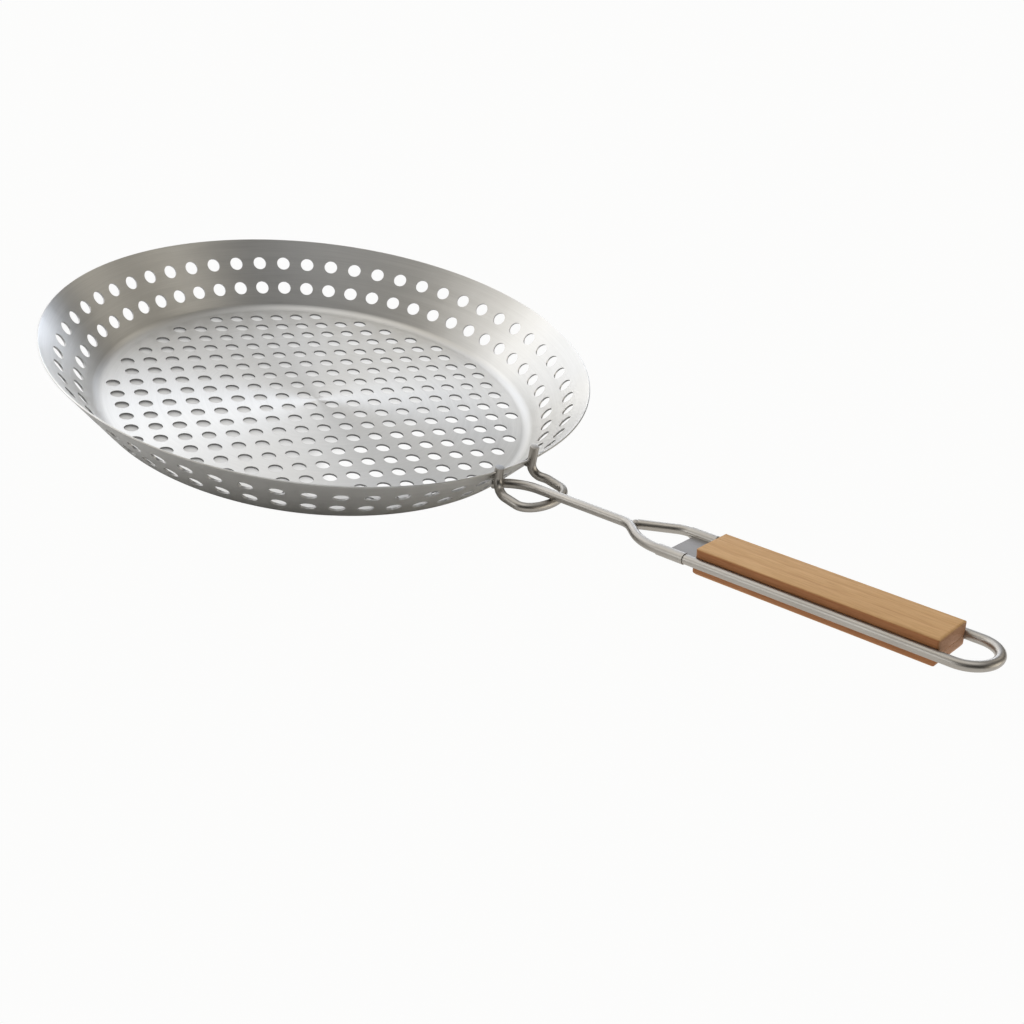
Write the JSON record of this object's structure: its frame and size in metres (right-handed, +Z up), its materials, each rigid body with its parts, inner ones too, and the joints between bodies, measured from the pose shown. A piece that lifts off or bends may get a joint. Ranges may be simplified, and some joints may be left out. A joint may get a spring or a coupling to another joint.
{
  "type": "perforated grill pan",
  "caption": "Round perforated grill pan with flared wall, wire bracket on the rim, and a tip-up wire handle with a wooden grip and hanging loop.",
  "frame": {"origin": "middle of the pan's flat underside, where it rests", "axes": "+Z up, +X along the handle from the pan to the hanging loop, +Y to the left of the handle"},
  "size_m": [0.563, 0.3064, 0.0799],
  "materials": {
    "pan_sheet": "brushed stainless sheet, circular brushing",
    "wire": "satin stainless wire",
    "weld": "weld bead, heat tinted",
    "tang_sheet": "satin stainless sheet",
    "screw": "plain steel screw",
    "grip_wood": "oiled light hardwood, fine lengthwise grain"
  },
  "bodies": {
    "pan_body": {"pan": "pan_sheet", "bracket": "wire", "near_leg_weld": "weld", "far_leg_weld": "weld"},
    "handle": {"handle_rod": "wire", "fork_arm": "wire", "fork_weld": "weld", "tang": "tang_sheet", "grip_loop": "wire", "upper_grip": "grip_wood", "lower_grip": "grip_wood", "front_screw": "screw", "rear_screw": "screw"}
  },
  "joints": [
    {"name": "handle_tip_up", "type": "hinge", "parent": "pan_body", "child": "handle", "pos_m": [0.14916, 0, 0.02623], "axis": [0, -1, 0], "range_deg": [0, 38]}
  ]
}
